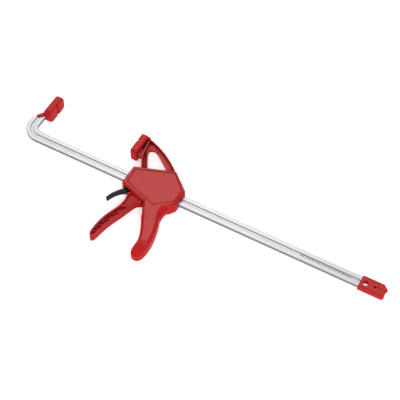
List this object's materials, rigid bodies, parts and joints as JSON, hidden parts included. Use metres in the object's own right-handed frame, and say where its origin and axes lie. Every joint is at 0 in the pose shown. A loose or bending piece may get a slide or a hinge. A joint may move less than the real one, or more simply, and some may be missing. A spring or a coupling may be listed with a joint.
{
  "type": "one-handed bar clamp",
  "caption": "One-handed F-style bar clamp: bent flat rail with a fixed jaw, sliding pistol-grip head with squeeze trigger and release lever, padded jaws.",
  "frame": {"origin": "centre of the bounding box's bottom face, with the clamp lying flat on its rear side", "axes": "+X along the rail from the fixed jaw to the free end, +Y the way the jaws point, +Z out of the front side"},
  "size_m": [0.671, 0.2196, 0.0272],
  "materials": {
    "rail_steel": "bright drawn steel, satin",
    "red_plastic": "moulded glass-filled nylon, fine texture",
    "black_plastic": "moulded nylon, satin",
    "dark_steel": "hardened, oiled",
    "zinc_steel": "zinc plated"
  },
  "bodies": {
    "rail": {"bar_rail": "rail_steel", "fixed_jaw_pad": "red_plastic", "end_cap": "red_plastic", "end_cap_pin": "dark_steel"},
    "head": {"front_housing": "red_plastic", "rear_housing": "red_plastic", "front_cover": "red_plastic", "rear_cover": "red_plastic", "housing_screws": "zinc_steel", "moving_jaw_pad": "red_plastic", "trigger_pin": "zinc_steel", "drive_spring": "zinc_steel", "brake_spring": "zinc_steel"},
    "trigger": {"trigger": "red_plastic"},
    "drive_plates": {"drive_plate_front": "dark_steel", "drive_plate_rear": "dark_steel"},
    "brake": {"brake_plate": "dark_steel", "release_lever": "black_plastic"}
  },
  "joints": [
    {"name": "head_slide", "type": "slide", "parent": "rail", "child": "head", "axis": [1, 0, 0], "range_m": [-0.158, 0.317]},
    {"name": "trigger_squeeze", "type": "hinge", "parent": "head", "child": "trigger", "pos_m": [-0.0895, 0.04044, 0.0136], "axis": [0, 0, 1], "range_deg": [0, 20], "stiffness_Nm_per_rad": 0.6, "springref_deg": -22.92},
    {"name": "drive_stroke", "type": "slide", "parent": "head", "child": "drive_plates", "axis": [1, 0, 0], "range_m": [0, 0.0112], "deforming": ["drive_spring"]},
    {"name": "brake_release", "type": "hinge", "parent": "head", "child": "brake", "pos_m": [-0.1145, 0.03894, 0.0136], "axis": [0, 0, 1], "range_deg": [0, 5], "stiffness_Nm_per_rad": 0.5, "springref_deg": -14.32, "deforming": ["brake_spring"]}
  ],
  "couplings": [
    {"joint": "drive_stroke", "follows": "trigger_squeeze", "m_per_rad": 0.031}
  ]
}
